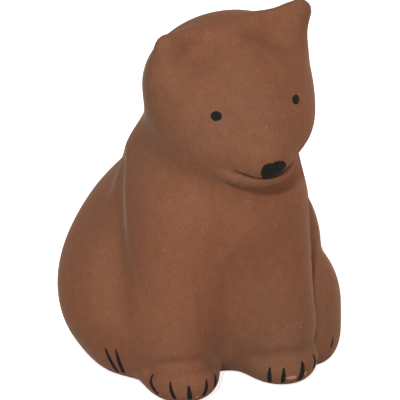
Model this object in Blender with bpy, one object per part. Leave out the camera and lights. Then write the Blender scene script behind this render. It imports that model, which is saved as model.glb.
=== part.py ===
"""A sitting bear: a hollow soft toy moulded in one piece, with painted eyes, nose and claws.

The skin is a smooth union of rounded masses, each with a named place and size. The wall, the air
chamber, the painted marks and the squeaker in the base are all worked out from that form.
Lengths below are millimetres. The bear faces -Y, its left side is +X and it sits on the plane z = 0.
"""
import math

import bpy
import numpy as np
from mathutils import Matrix, Vector

MM = 0.001

# Masses of the body: a centre and the half sizes of an ellipsoid.
RUMP = ((2.7, 17.0, 24.0), (32.0, 29.0, 27.5))
CHEST = ((-1.6, 2.3, 44.6), (16.8, 18.3, 22.0))
BELLY = ((0.5, 2.2, 14.4), (16.0, 12.6, 18.5))
BREAST = ((0.5, -5.5, 33.0), (13.0, 10.5, 25.0))
BIB = ((0.0, -13.5, 47.4), (11.0, 12.0, 14.0))
NECK_CENTRE = (0.4, -6.0, 59.4)
NECK_RADIUS = 16.1
SHOULDER = {"right": ((-13.8, -0.8, 42.2), (11.3, 12.4, 24.6)),
            "left": ((12.1, -1.9, 41.8), (10.2, 11.4, 24.6))}
HAUNCH = {"right": ((-19.8, 9.3, 17.8), (14.9, 17.5, 17.1)),
          "left": ((21.8, 4.4, 13.6), (13.8, 18.8, 17.1))}

# Legs: the top and bottom centre and radius of each foreleg, and the paws as ellipsoids.
LEG_TOP = {"right": ((-11.4, -11.4, 46.4), 10.2), "left": ((7.4, -12.4, 45.2), 9.8)}
LEG_BOTTOM = {"right": ((-13.8, -12.2, 13.7), 8.7), "left": ((12.8, -12.4, 15.6), 10.2)}
FRONT_PAW = {"right": ((-12.8, -13.8, 5.0), (9.2, 9.8, 6.6)),
             "left": ((13.8, -12.3, 5.0), (8.8, 10.2, 6.6))}
HIND_PAW = {"right": ((-20.4, 4.4, 5.6), (7.4, 8.0, 6.6)),
            "left": ((23.2, -5.2, 5.4), (7.8, 9.0, 6.8))}

# Furrows pressed into the form: the stations of a tube, its radius, and how far its rims are rounded.
FURROWS = {
    "between_forelegs": (((-4.6, -29.0, 50.0), (-8.6, -26.4, 34.0), (-9.2, -25.4, 24.0),
                          (-5.6, -23.4, 12.5)), 2.6, 4.0),
    "behind_right_foreleg": (((-25.0, 3.4, 54.0), (-27.9, -2.9, 37.5), (-29.6, -9.2, 21.5)), 3.0, 5.0),
    "toes_front_right": (((-22.5, -16.0, 9.6), (-19.0, -21.4, 11.0), (-13.5, -23.6, 11.9),
                          (-7.5, -22.0, 12.0)), 1.2, 1.6),
    "toes_front_left": (((4.5, -21.8, 10.6), (9.5, -24.2, 11.6), (15.0, -23.8, 11.4),
                         (20.0, -20.6, 10.2)), 1.2, 1.6),
}

# Head, in a frame of its own at the head's centre, turned, bowed and tilted in degrees.
HEAD_CENTRE = (-0.1, -14.1, 77.1)
HEAD_TURN = 3.8
HEAD_BOW = 19.1
HEAD_TILT = -7.0
SKULL = ((0.0, 4.3, 1.9), (18.8, 13.6, 13.5))
CHEEK = ((8.5, -4.6, -5.6), (8.6, 12.8, 7.7))
MUZZLE_ROOT = ((0.0, -3.1, 0.0), 11.2)
MUZZLE_TIP = ((0.0, -18.5, -6.0), 5.3)
JAW = ((0.0, -10.9, -11.5), (10.4, 15.3, 4.8))
EAR_ROOT = ((11.3, 2.6, 8.2), 8.2)
EAR_TIP = {"right": ((-15.5, 2.6, 14.0), 3.3), "left": ((16.7, 2.6, 14.7), 3.5)}
EAR_FLATNESS = 1.7
EAR_CUP = ((10.6, -5.6, 15.6), (4.8, 6.6, 3.6))
EAR_CUP_TILT = -45.0

# How far each join is rounded: the larger the value, the softer the crease.
TORSO_JOIN = 16.0
NECK_JOIN = 14.0
BELLY_JOIN = 10.0
BREAST_JOIN = 8.0
SHOULDER_JOIN = 5.0
FORELEG_JOIN = 7.0
FRONT_PAW_JOIN = 2.5
HAUNCH_JOIN = {"right": 12.0, "left": 2.5}
HIND_PAW_JOIN = 6.0
CHEEK_JOIN = 13.0
MUZZLE_JOIN = 10.0
EAR_JOIN = 4.0
EAR_CUP_JOIN = 3.5
HEAD_JOIN = 10.0
JAW_JOIN = 1.0

# Wall of the moulding, and the thicker floor that the squeaker is pushed into.
WALL = 2.6
FLOOR = 4.5
FLOOR_FILLET = 4.0
CLEARANCE = 0.3
PAINT_RISE = 0.25
PAINT_SINK = 0.45

# Squeaker: a flanged barrel in the base, a reed plate on it, a tongue and the bar that clamps it.
SQUEAKER_X = 2.7
SQUEAKER_Y = 10.0
BARREL_RADIUS = 9.7
BARREL_HEIGHT = 15.0
BARREL_WALL = 1.3
BARREL_FLOOR = 1.4
OUTER_FLANGE_RADIUS = 12.4
OUTER_FLANGE_THICKNESS = 1.3
INNER_FLANGE_RADIUS = 11.2
INNER_FLANGE_THICKNESS = 1.2
SEAT_DEPTH = 0.3
UNDERSIDE_SETBACK = 0.5
AIR_HOLE_RADIUS = 2.2
PLATE_THICKNESS = 1.4
PLATE_SPIGOT_DEPTH = 1.6
PLATE_SPIGOT_WALL = 1.0
TONGUE_LENGTH = 12.0
TONGUE_ROOT = 3.0
TONGUE_WIDTH = 3.2
TONGUE_THICKNESS = 0.35
SLOT_MARGIN = 0.4
CLAMP_LENGTH = 8.4
CLAMP_WIDTH = 3.0
CLAMP_THICKNESS = 1.5
STUD_RADIUS = 0.7
STUD_SPACING = 5.6
STUD_PROUD = 0.4

# Painted marks on the head, in the head's frame: a direction from its centre and the half sizes.
EYE_DIRECTION = (9.85, -14.1, 3.9)
EYE_HALF = (1.45, 1.3)
NOSE_DIRECTION = (0.0, -24.2, -6.5)
NOSE_HALF = (3.4, 2.7)
NOSTRIL_NOTCH = 0.55
MOUTH_CORNER = (8.0, -20.8, -7.0)
MOUTH_MIDDLE = (0.0, -24.7, -9.2)
MOUTH_STATIONS = 9
MOUTH_HALF_WIDTH = 0.35
MOUTH_DEPTH = 0.8
RECESS_REACH = 1.5

# Claws of each paw: compass angle about the paw's middle, from straight ahead towards the bear's
# left, at the top and the bottom of the stroke, and the heights of these two ends.
CLAWS = {
    "front_right": ((-77, -61, 7.2, 2.8), (-37, -30, 7.2, 2.6), (-10, -6, 6.6, 2.2),
                    (18, 16, 7.2, 2.4), (42, 34, 7.0, 4.0)),
    "front_left": ((-39, -41, 6.6, 1.8), (-19, -19, 6.6, 1.6), (10, 10, 7.2, 1.6),
                   (47, 35, 7.0, 4.0)),
    "hind_right": ((-47, -35, 10.6, 3.8), (-33, -19, 11.0, 3.6)),
    "hind_left": ((25, 20, 8.4, 5.4),),
}
CLAW_HALF_WIDTH = {"front": 0.75, "hind": 0.55}
CLAW_STATIONS = 5

# Corners of the space that the whole form lies in, and how far the ground cut reaches past them.
FORM_LOW = (-40.0, -44.0, -8.0)
FORM_HIGH = (42.0, 54.0, 108.0)
GROUND_MARGIN = 5.0

# Fineness of the faceted surfaces.
OUTER_CELL = 1.68
INNER_CELL = 4.4
OUTER_KEPT = 0.27
RING_SIDES = 40


def blend(a, b, softness):
    """Smaller of two distances, rounded where they are alike."""
    near = np.maximum(softness - np.abs(a - b), 0.0) / softness
    return np.minimum(a, b) - near * near * softness / 4


def carve(a, b, softness):
    """Distance a with the solid b taken out of it, rounded at the rim."""
    return -blend(-a, b, softness)


def ellipsoid(q, centre, half):
    offset = q - np.array(centre)
    half = np.array(half)
    k0 = np.linalg.norm(offset / half, axis=-1)
    k1 = np.linalg.norm(offset / half ** 2, axis=-1)
    return k0 * (k0 - 1) / np.maximum(k1, 1e-9)


def round_cone(q, start, end, radius_start, radius_end):
    """Distance to two spheres and the cone that touches both."""
    start = np.array(start)
    axis = np.array(end) - start
    length = np.linalg.norm(axis)
    axis = axis / length
    along = (q - start) @ axis
    across = np.linalg.norm((q - start) - along[..., None] * axis, axis=-1)
    sine = (radius_start - radius_end) / length
    cosine = math.sqrt(1 - sine * sine)
    slide = along * cosine - across * sine
    side = across * cosine + along * sine - radius_start
    at_start = np.hypot(along, across) - radius_start
    at_end = np.hypot(along - length, across) - radius_end
    return np.where(slide < 0, at_start, np.where(slide > length * cosine, at_end, side))


HEAD_TURNED = np.array(Matrix.Rotation(math.radians(HEAD_TURN), 3, "Z")
                       @ Matrix.Rotation(math.radians(HEAD_BOW), 3, "X")
                       @ Matrix.Rotation(math.radians(HEAD_TILT), 3, "Y"))
CUP_TURNED = np.array(Matrix.Rotation(math.radians(EAR_CUP_TILT), 3, "Y"))
SIDES = {"right": -1, "left": 1}


def mirrored(point, sign):
    return (sign * point[0], point[1], point[2])


def ear(q, side):
    """One ear in the head's frame: a flattened cone from the skull to the ear's tip."""
    flat = np.array((1.0, EAR_FLATNESS, 1.0))
    root = np.array(mirrored(EAR_ROOT[0], SIDES[side])) * flat
    tip, tip_radius = EAR_TIP[side]
    lobe = round_cone(q * flat, root, np.array(tip) * flat, EAR_ROOT[1], tip_radius)
    return lobe / (0.5 + 0.5 * EAR_FLATNESS)


def ear_cup(q, sign):
    """The hollow in front of an ear, in the head's frame."""
    turn = CUP_TURNED if sign > 0 else CUP_TURNED.T
    return ellipsoid((q - np.array(mirrored(EAR_CUP[0], sign))) @ turn, (0, 0, 0), EAR_CUP[1])


def head(q):
    """The head's main mass, in its own frame, without ears and jaw."""
    d = ellipsoid(q, *SKULL)
    for sign in SIDES.values():
        d = blend(d, ellipsoid(q, mirrored(CHEEK[0], sign), CHEEK[1]), CHEEK_JOIN)
    muzzle = round_cone(q, MUZZLE_ROOT[0], MUZZLE_TIP[0], MUZZLE_ROOT[1], MUZZLE_TIP[1])
    return blend(d, muzzle, MUZZLE_JOIN)


def trunk(q):
    """Rump, chest, neck and belly, with the mass between the forelegs."""
    d = blend(ellipsoid(q, *RUMP), ellipsoid(q, *CHEST), TORSO_JOIN)
    neck = np.linalg.norm(q - np.array(NECK_CENTRE), axis=-1) - NECK_RADIUS
    d = blend(d, neck, NECK_JOIN)
    d = blend(d, ellipsoid(q, *BELLY), BELLY_JOIN)
    front = blend(ellipsoid(q, *BREAST), ellipsoid(q, *BIB), BREAST_JOIN)
    return blend(d, front, BREAST_JOIN)


def furrowed(q, d):
    """Distance d with the furrows pressed in, each a tube along a few stations."""
    for path, radius, softness in FURROWS.values():
        path = np.array(path)
        nearest = np.full(len(q), np.inf)
        for start, end in zip(path[:-1], path[1:]):
            run = end - start
            t = np.clip((q - start) @ run / (run @ run), 0, 1)
            nearest = np.minimum(nearest, np.linalg.norm(q - start - t[:, None] * run, axis=-1))
        d = carve(d, nearest - radius, softness)
    return d


def to_head(q):
    return (q - np.array(HEAD_CENTRE)) @ HEAD_TURNED


def skin(q):
    """Distance from points (n, 3) to the outer surface of the toy, less than 0 inside."""
    d = trunk(q)
    for side in SIDES:
        d = blend(d, ellipsoid(q, *SHOULDER[side]), SHOULDER_JOIN)
        leg = round_cone(q, LEG_TOP[side][0], LEG_BOTTOM[side][0], LEG_TOP[side][1], LEG_BOTTOM[side][1])
        leg = blend(leg, ellipsoid(q, *FRONT_PAW[side]), FRONT_PAW_JOIN)
        d = blend(d, leg, FORELEG_JOIN)
    for side in SIDES:
        hind = blend(ellipsoid(q, *HAUNCH[side]), ellipsoid(q, *HIND_PAW[side]), HIND_PAW_JOIN)
        d = blend(d, hind, HAUNCH_JOIN[side])
    d = furrowed(q, d)
    own = to_head(q)
    crown = head(own)
    for side, sign in SIDES.items():
        crown = carve(blend(crown, ear(own, side), EAR_JOIN), ear_cup(own, sign), EAR_CUP_JOIN)
    d = blend(d, crown, HEAD_JOIN)
    return blend(d, ellipsoid(own, *JAW), JAW_JOIN)


def chamber(q):
    """Distance to the air chamber: the main masses without ears, jaw and paws, one wall inside."""
    d = trunk(q)
    for side in SIDES:
        leg = round_cone(q, LEG_TOP[side][0], LEG_BOTTOM[side][0], LEG_TOP[side][1], LEG_BOTTOM[side][1])
        d = blend(d, leg, FORELEG_JOIN)
        d = blend(d, ellipsoid(q, *HAUNCH[side]), HIND_PAW_JOIN)
    d = furrowed(q, d)
    d = blend(d, head(to_head(q)), HEAD_JOIN)
    return -blend(-(d + WALL), q[..., 2] - FLOOR, FLOOR_FILLET)


def slope(distance, points, reach=0.05):
    """Unit direction in which the distance grows fastest at each point."""
    out = np.empty_like(points)
    for axis in range(3):
        step = np.zeros(3)
        step[axis] = reach
        out[:, axis] = distance(points + step) - distance(points - step)
    return out / np.maximum(np.linalg.norm(out, axis=1, keepdims=True), 1e-9)


def settle(distance, points, rounds=6):
    """Move points along the slope on to the zero level."""
    for _ in range(rounds):
        points = points - slope(distance, points) * distance(points)[:, None]
    return points


def level_mesh(distance, low, high, cell):
    """Vertices and quads of the closed surface where the distance is 0, one vertex in each mixed cell."""
    axes = [np.arange(a, b + cell, cell) for a, b in zip(low, high)]
    grid = np.stack(np.meshgrid(*axes, indexing="ij"), axis=-1)
    inside = distance(grid.reshape(-1, 3)).reshape(grid.shape[:3]) < 0
    count = np.zeros([n - 1 for n in inside.shape], int)
    for corner in np.ndindex(2, 2, 2):
        count += inside[tuple(slice(c, c + n) for c, n in zip(corner, count.shape))]
    mixed = (count > 0) & (count < 8)
    index = np.full(mixed.shape, -1)
    index[mixed] = np.arange(mixed.sum())
    points = grid[:-1, :-1, :-1][mixed] + cell / 2
    quads = []
    for axis in range(3):
        before = np.moveaxis(inside, axis, 0)[:-1, 1:-1, 1:-1]
        after = np.moveaxis(inside, axis, 0)[1:, 1:-1, 1:-1]
        cells = np.moveaxis(index, axis, 0)
        ring = [cells[:, :-1, :-1], cells[:, 1:, :-1], cells[:, 1:, 1:], cells[:, :-1, 1:]]
        if axis == 1:
            ring.reverse()
        leaving = before & ~after
        entering = ~before & after
        quads.append(np.stack([r[leaving] for r in ring], axis=1))
        quads.append(np.stack([r[entering] for r in reversed(ring)], axis=1))
    quads = np.concatenate(quads)
    edges = np.concatenate([quads[:, [0, 1]], quads[:, [1, 2]], quads[:, [2, 3]], quads[:, [3, 0]]])
    points = settle(distance, points)
    for _ in range(3):
        total = np.zeros_like(points)
        share = np.zeros(len(points))
        np.add.at(total, edges[:, 0], points[edges[:, 1]])
        np.add.at(share, edges[:, 0], 1)
        points = settle(distance, 0.4 * points + 0.6 * total / share[:, None], 2)
    return points, quads.tolist()


def cast(start, direction):
    """Point where a ray from inside the skin leaves it."""
    start = np.array(start, float)
    direction = np.array(direction, float) / np.linalg.norm(direction)
    travelled = 0.0
    for _ in range(60):
        travelled -= float(skin((start + travelled * direction)[None])[0])
    return start + travelled * direction


def material(name, colour, roughness, metallic=0.0):
    made = bpy.data.materials.new(name)
    made.use_nodes = True
    shader = made.node_tree.nodes["Principled BSDF"]
    shader.inputs["Base Color"].default_value = (*colour, 1.0)
    shader.inputs["Roughness"].default_value = roughness
    shader.inputs["Metallic"].default_value = metallic
    return made


def solid(name, points, faces, finish=None, smooth=False):
    """Object from points in millimetres, with its faces turned outward.

    Faces are split into triangles, which stay flat, so that a cut leaves no slivers.
    """
    triangles = [(f[0], a, b) for f in faces for a, b in zip(f[1:], f[2:])]
    mesh = bpy.data.meshes.new(name)
    mesh.from_pydata([Vector(p) * MM for p in points], [], triangles)
    mesh.update()
    if smooth:
        mesh.shade_smooth()
    obj = bpy.data.objects.new(name, mesh)
    bpy.context.scene.collection.objects.link(obj)
    if finish is None:
        obj.hide_render = True
        obj.display_type = "WIRE"
    else:
        mesh.materials.append(finish)
    return obj


def cut(obj, tool, operation="DIFFERENCE"):
    """Boolean of one object with a guide object."""
    boolean = obj.modifiers.new("cut", "BOOLEAN")
    boolean.operation = operation
    boolean.solver = "EXACT"
    boolean.object = tool


def cut_all(obj, tools):
    """Boolean difference with several guides that don't touch each other."""
    group = bpy.data.collections.new("guides")
    bpy.context.scene.collection.children.link(group)
    for tool in tools:
        group.objects.link(tool)
    boolean = obj.modifiers.new("cut", "BOOLEAN")
    boolean.operand_type = "COLLECTION"
    boolean.collection = group
    boolean.solver = "EXACT"


def turned(name, profile, centre=(0.0, 0.0), finish=None, sides=RING_SIDES):
    """Solid of revolution about a vertical axis; the profile is a closed loop of (radius, z)."""
    points = []
    faces = []
    first = []
    for radius, z in profile:
        first.append(len(points))
        if radius == 0:
            points.append((centre[0], centre[1], z))
            continue
        for i in range(sides):
            angle = math.tau * i / sides
            points.append((centre[0] + radius * math.cos(angle), centre[1] + radius * math.sin(angle), z))
    for k in range(len(profile)):
        n = (k + 1) % len(profile)
        on_axis = profile[k][0] == 0, profile[n][0] == 0
        if all(on_axis):
            continue
        for i in range(sides):
            j = (i + 1) % sides
            if on_axis[0]:
                faces.append((first[k], first[n] + j, first[n] + i))
            elif on_axis[1]:
                faces.append((first[k] + i, first[k] + j, first[n]))
            else:
                faces.append((first[k] + i, first[k] + j, first[n] + j, first[n] + i))
    obj = solid(name, points, faces, finish)
    obj.data.set_sharp_from_angle(angle=math.radians(30))
    return obj


def block(name, low, high, finish=None):
    """Box between two corners."""
    points = [(x, y, z) for z in (low[2], high[2]) for y in (low[1], high[1]) for x in (low[0], high[0])]
    faces = [(0, 2, 3, 1), (4, 5, 7, 6), (0, 1, 5, 4), (2, 6, 7, 3), (0, 4, 6, 2), (1, 3, 7, 5)]
    return solid(name, points, faces, finish)


def stroke(name, path, half_widths, top, bottom, finish=None):
    """Strip that follows the skin along a path of surface points.

    A painted stroke has a lens section from ridge to ridge, and a guide for its recess a square one.
    """
    path = np.array(path)
    normals = slope(skin, path)
    along = np.gradient(path, axis=0)
    across = np.cross(normals, along)
    across /= np.linalg.norm(across, axis=1, keepdims=True)
    points = []
    for centre, normal, side, half in zip(path, normals, across, half_widths):
        if finish is None:
            section = ((-half, bottom), (half, bottom), (half, top), (-half, top))
        else:
            section = ((0, bottom), (half, 0), (0, top), (-half, 0))
        points.extend(centre + side * s + normal * h for s, h in section)
    faces = [(3, 2, 1, 0)]
    last = 4 * (len(path) - 1)
    for k in range(len(path) - 1):
        for i in range(4):
            j = (i + 1) % 4
            faces.append((4 * k + i, 4 * k + j, 4 * k + 4 + j, 4 * k + 4 + i))
    faces.append((last, last + 1, last + 2, last + 3))
    return solid(name, points, faces, finish)


def patch(name, centre, up, outline, top, bottom, finish=None):
    """Cap that follows the skin inside an outline of (across, up) points round a surface point."""
    normal = slope(skin, np.array([centre]))[0]
    side = np.cross(up, normal)
    side /= np.linalg.norm(side)
    rise = np.cross(normal, side)
    crown = 0.55
    rings = []
    for scale in (1.0, crown):
        flat = np.array([centre + scale * (a * side + b * rise) for a, b in outline])
        rings.append(settle(skin, flat))
    middle = settle(skin, np.array([centre]))[0]
    edge_top = top if finish is None else 0.3 * top
    lower = rings[0] + normal * bottom
    upper = rings[0] + normal * edge_top
    dome = rings[1] + normal * top
    points = [*lower, *upper, *dome, middle + normal * top, middle + normal * bottom]
    n = len(outline)
    faces = []
    for i in range(n):
        j = (i + 1) % n
        faces.append((i, j, n + j, n + i))
        faces.append((n + i, n + j, 2 * n + j, 2 * n + i))
        faces.append((2 * n + i, 2 * n + j, 3 * n))
        faces.append((j, i, 3 * n + 1))
    return solid(name, points, faces, finish)


def oval(half, count=14):
    return [(half[0] * math.cos(math.tau * i / count), half[1] * math.sin(math.tau * i / count))
            for i in range(count)]


def nose_outline(half, count=18):
    """Rounded pad, flat-topped, with a nostril notch on each side of the middle."""
    outline = []
    for i in range(count):
        angle = math.tau * i / count
        reach = 1.0
        lift = math.sin(angle)
        if lift > 0:
            reach += 0.16 * abs(math.sin(2 * angle))
            reach -= NOSTRIL_NOTCH / half[1] * math.exp(-((math.cos(angle) ** 2 - 0.18) / 0.1) ** 2)
        outline.append((half[0] * reach * math.cos(angle), half[1] * reach * lift))
    return outline


def grown(outline, margin):
    """Outline moved outward from its middle by a margin."""
    out = []
    for a, b in outline:
        reach = math.hypot(a, b)
        out.append((a * (1 + margin / reach), b * (1 + margin / reach)))
    return out


def head_surface(direction):
    """Point of the skin seen from the head's centre along a direction in the head's frame."""
    return cast(HEAD_CENTRE, HEAD_TURNED @ np.array(direction))


def marked(name, centre, outline, finish):
    """Painted cap on the head and the guide for the recess that it lies in."""
    up = HEAD_TURNED @ np.array((0.0, 0.0, 1.0))
    paint = patch(name, centre, up, outline, PAINT_RISE, -PAINT_SINK, finish)
    recess = patch(name + "_recess", centre, up, grown(outline, CLEARANCE),
                   RECESS_REACH, -PAINT_SINK - CLEARANCE)
    return paint, recess


def claw_path(paw, claw):
    """Surface points of a claw's stroke, from its top to its bottom."""
    end, side = paw.split("_")
    centre = (FRONT_PAW if end == "front" else HIND_PAW)[side][0]
    top_angle, bottom_angle, top_z, bottom_z = claw
    path = []
    for k in range(CLAW_STATIONS):
        t = k / (CLAW_STATIONS - 1)
        angle = math.radians(top_angle + (bottom_angle - top_angle) * t)
        z = top_z + (bottom_z - top_z) * t
        path.append(cast((centre[0], centre[1], z), (math.sin(angle), -math.cos(angle), 0)))
    return path


def lengthened(path, margin):
    """Path with both ends pushed outward along it."""
    path = np.array(path)
    out = path.copy()
    for end, inner in ((0, 1), (-1, -2)):
        run = path[end] - path[inner]
        out[end] += run / np.linalg.norm(run) * margin
    return out


def make_claws(finish):
    guides = []
    for paw, claws in CLAWS.items():
        widest = CLAW_HALF_WIDTH[paw.split("_")[0]]
        for number, claw in enumerate(claws, 1):
            path = claw_path(paw, claw)
            widths = [widest * (0.35 + 0.65 * math.sin(math.pi * (0.12 + 0.7 * k / (CLAW_STATIONS - 1))))
                      for k in range(CLAW_STATIONS)]
            name = f"claw_{paw}_{number}"
            stroke(name, path, widths, PAINT_RISE, -PAINT_SINK, finish)
            guides.append(stroke(name + "_recess", lengthened(path, CLEARANCE),
                                 [w + CLEARANCE for w in widths], RECESS_REACH, -PAINT_SINK - CLEARANCE))
    return guides


def mouth_guide():
    """Groove that curves round the muzzle under the nose, on the upper edge of the jaw."""
    path = []
    widths = []
    for k in range(MOUTH_STATIONS):
        t = -1 + 2 * k / (MOUTH_STATIONS - 1)
        back, drop = (m + (c - m) * t * t for m, c in zip(MOUTH_MIDDLE[1:], MOUTH_CORNER[1:]))
        path.append(head_surface((MOUTH_CORNER[0] * t, back, drop)))
        widths.append(MOUTH_HALF_WIDTH * (1 - 0.6 * abs(t) ** 3))
    return stroke("mouth_groove", path, widths, RECESS_REACH, -MOUTH_DEPTH)


def make_skin(finish, guides):
    outer = solid("body_skin", *level_mesh(skin, FORM_LOW, FORM_HIGH, OUTER_CELL), finish)
    fewer = outer.modifiers.new("fewer_facets", "DECIMATE")
    fewer.ratio = OUTER_KEPT
    ground_low = [v - GROUND_MARGIN for v in FORM_LOW]
    ground_high = [FORM_HIGH[0] + GROUND_MARGIN, FORM_HIGH[1] + GROUND_MARGIN, 0.0]
    cut(outer, block("ground", ground_low, ground_high))
    cut(outer, solid("air_chamber", *level_mesh(chamber, FORM_LOW, FORM_HIGH, INNER_CELL)))
    rebate_depth = UNDERSIDE_SETBACK + OUTER_FLANGE_THICKNESS + CLEARANCE
    seat_z = FLOOR - SEAT_DEPTH
    above = FLOOR + FLOOR_FILLET
    hole = turned("base_hole", [
        (0, -5), (OUTER_FLANGE_RADIUS + CLEARANCE, -5), (OUTER_FLANGE_RADIUS + CLEARANCE, rebate_depth),
        (BARREL_RADIUS + CLEARANCE, rebate_depth), (BARREL_RADIUS + CLEARANCE, seat_z),
        (INNER_FLANGE_RADIUS + CLEARANCE, seat_z), (INNER_FLANGE_RADIUS + CLEARANCE, above), (0, above)],
                  (SQUEAKER_X, SQUEAKER_Y))
    cut(outer, hole)
    cut_all(outer, guides)
    return outer


def make_squeaker(plastic, brass):
    """Barrel, reed plate, tongue and clamp, one above the other on the squeaker's axis."""
    axis = (SQUEAKER_X, SQUEAKER_Y)
    flange_z = UNDERSIDE_SETBACK + OUTER_FLANGE_THICKNESS
    seat_z = FLOOR - SEAT_DEPTH + CLEARANCE
    rim_z = UNDERSIDE_SETBACK + BARREL_HEIGHT
    bore = BARREL_RADIUS - BARREL_WALL
    floor_z = UNDERSIDE_SETBACK + BARREL_FLOOR
    turned("squeaker_barrel", [
        (AIR_HOLE_RADIUS, UNDERSIDE_SETBACK), (OUTER_FLANGE_RADIUS, UNDERSIDE_SETBACK),
        (OUTER_FLANGE_RADIUS, flange_z), (BARREL_RADIUS, flange_z), (BARREL_RADIUS, seat_z),
        (INNER_FLANGE_RADIUS, seat_z), (BARREL_RADIUS, seat_z + INNER_FLANGE_THICKNESS),
        (BARREL_RADIUS, rim_z), (bore, rim_z), (bore, floor_z), (AIR_HOLE_RADIUS, floor_z)], axis, plastic)

    plate_z = rim_z + CLEARANCE
    top_z = plate_z + PLATE_THICKNESS
    spigot = bore - CLEARANCE
    plate = turned("reed_plate", [
        (0, plate_z), (spigot - PLATE_SPIGOT_WALL, plate_z),
        (spigot - PLATE_SPIGOT_WALL, plate_z - PLATE_SPIGOT_DEPTH), (spigot, plate_z - PLATE_SPIGOT_DEPTH),
        (spigot, plate_z), (BARREL_RADIUS, plate_z), (BARREL_RADIUS, top_z), (0, top_z)], axis, plastic)
    root_x = SQUEAKER_X - TONGUE_LENGTH / 2
    hinge_x = root_x + TONGUE_ROOT / 2
    tip_x = root_x + TONGUE_LENGTH
    slot_half = TONGUE_WIDTH / 2 + SLOT_MARGIN
    cut(plate, block("reed_slot", (root_x + TONGUE_ROOT, SQUEAKER_Y - slot_half, plate_z - 3),
                     (tip_x + SLOT_MARGIN, SQUEAKER_Y + slot_half, top_z + 1)))
    tongue_z = top_z + CLEARANCE
    clamp_z = tongue_z + TONGUE_THICKNESS + CLEARANCE
    stud_top = clamp_z + CLAMP_THICKNESS + STUD_PROUD
    for sign in (-1, 1):
        stud = turned("stud", [(0, top_z - 0.5), (STUD_RADIUS, top_z - 0.5), (STUD_RADIUS, stud_top),
                               (0, stud_top)], (hinge_x, SQUEAKER_Y + sign * STUD_SPACING / 2), None, 12)
        cut(plate, stud, "UNION")

    block("reed_tongue", (root_x, SQUEAKER_Y - TONGUE_WIDTH / 2, tongue_z),
          (tip_x, SQUEAKER_Y + TONGUE_WIDTH / 2, tongue_z + TONGUE_THICKNESS), brass)

    clamp = block("reed_clamp", (hinge_x - CLAMP_WIDTH / 2, SQUEAKER_Y - CLAMP_LENGTH / 2, clamp_z),
                  (hinge_x + CLAMP_WIDTH / 2, SQUEAKER_Y + CLAMP_LENGTH / 2, clamp_z + CLAMP_THICKNESS),
                  plastic)
    for sign in (-1, 1):
        hole = turned("stud_hole", [(0, clamp_z - 1), (STUD_RADIUS + CLEARANCE, clamp_z - 1),
                                    (STUD_RADIUS + CLEARANCE, stud_top), (0, stud_top)],
                      (hinge_x, SQUEAKER_Y + sign * STUD_SPACING / 2), None, 12)
        cut(clamp, hole)


def centre_on_base():
    """Move everything so that the origin is under the middle of the toy, on the ground."""
    graph = bpy.context.evaluated_depsgraph_get()
    corners = []
    for obj in bpy.data.objects:
        if not obj.hide_render:
            corners.extend(np.array(v.co) for v in obj.evaluated_get(graph).data.vertices)
    corners = np.array(corners)
    middle = (corners.min(axis=0) + corners.max(axis=0)) / 2
    for obj in bpy.data.objects:
        obj.location -= Vector((middle[0], middle[1], 0))


def main():
    for obj in list(bpy.data.objects):
        bpy.data.objects.remove(obj)
    brown = material("moulded_skin", (0.235, 0.098, 0.058), 0.85)
    black = material("black_paint", (0.023, 0.021, 0.021), 0.6)
    plastic = material("squeaker_plastic", (0.72, 0.68, 0.58), 0.45)
    brass = material("reed_brass", (0.70, 0.52, 0.22), 0.3, 1.0)

    guides = [mouth_guide()]
    for side, sign in SIDES.items():
        eye = head_surface(mirrored(EYE_DIRECTION, sign))
        guides.append(marked(f"eye_{side}", eye, oval(EYE_HALF), black)[1])
    guides.append(marked("nose", head_surface(NOSE_DIRECTION), nose_outline(NOSE_HALF), black)[1])
    guides.extend(make_claws(black))
    make_skin(brown, guides)
    make_squeaker(plastic, brass)
    centre_on_base()


main()
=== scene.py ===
# %% [markdown]
# # A moulded sitting bear
#
# The toy is a hollow soft moulding, about 97 mm tall, with a matte, velvety brown coat. Its eyes, nose
# and claws are brushed on in black. There is no fabric, seam or joint, so the whole look rests on three
# things: a smooth, exact form, a coat that isn't one flat brown, and gentle light.
#
# Lengths are millimetres until a mesh is made. The bear faces -Y and its own left side is +X.

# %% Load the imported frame
import math

import bmesh
import bpy
import numpy as np
from mathutils import Matrix, Vector, noise


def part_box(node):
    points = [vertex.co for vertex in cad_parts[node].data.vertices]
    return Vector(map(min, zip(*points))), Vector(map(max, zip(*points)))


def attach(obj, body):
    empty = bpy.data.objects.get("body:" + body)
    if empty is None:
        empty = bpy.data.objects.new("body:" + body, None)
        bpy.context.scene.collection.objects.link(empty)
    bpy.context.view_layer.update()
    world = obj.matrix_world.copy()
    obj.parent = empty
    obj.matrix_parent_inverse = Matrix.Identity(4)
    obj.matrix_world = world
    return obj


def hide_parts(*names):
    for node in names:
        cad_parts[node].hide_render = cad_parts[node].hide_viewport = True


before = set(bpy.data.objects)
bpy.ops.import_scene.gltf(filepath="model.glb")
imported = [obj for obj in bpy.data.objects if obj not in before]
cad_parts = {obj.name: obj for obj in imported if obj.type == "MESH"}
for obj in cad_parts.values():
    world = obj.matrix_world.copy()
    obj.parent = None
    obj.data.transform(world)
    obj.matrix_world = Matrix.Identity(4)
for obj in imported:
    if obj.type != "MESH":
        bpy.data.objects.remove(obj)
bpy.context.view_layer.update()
MM = 0.001

# %% [markdown]
# ## Where the form sits
#
# The solid model was centred on its base, so the form below has to move by the same step. The squeaker's
# barrel tells how far: its axis is at (2.7, 10) in the form and at the middle of its box in the frame.

# %% Place of the form in the frame
SQUEAKER_AXIS = np.array((2.7, 10.0))
barrel_box = np.array(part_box("squeaker_barrel")) / MM
FORM_STEP = np.append(barrel_box.mean(axis=0)[:2] - SQUEAKER_AXIS, 0.0)


def to_frame(points):
    """Metres in the frame, from millimetres in the form."""
    return (np.asarray(points) + FORM_STEP) * MM


print("form moves by", FORM_STEP.round(3), "mm")

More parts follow.
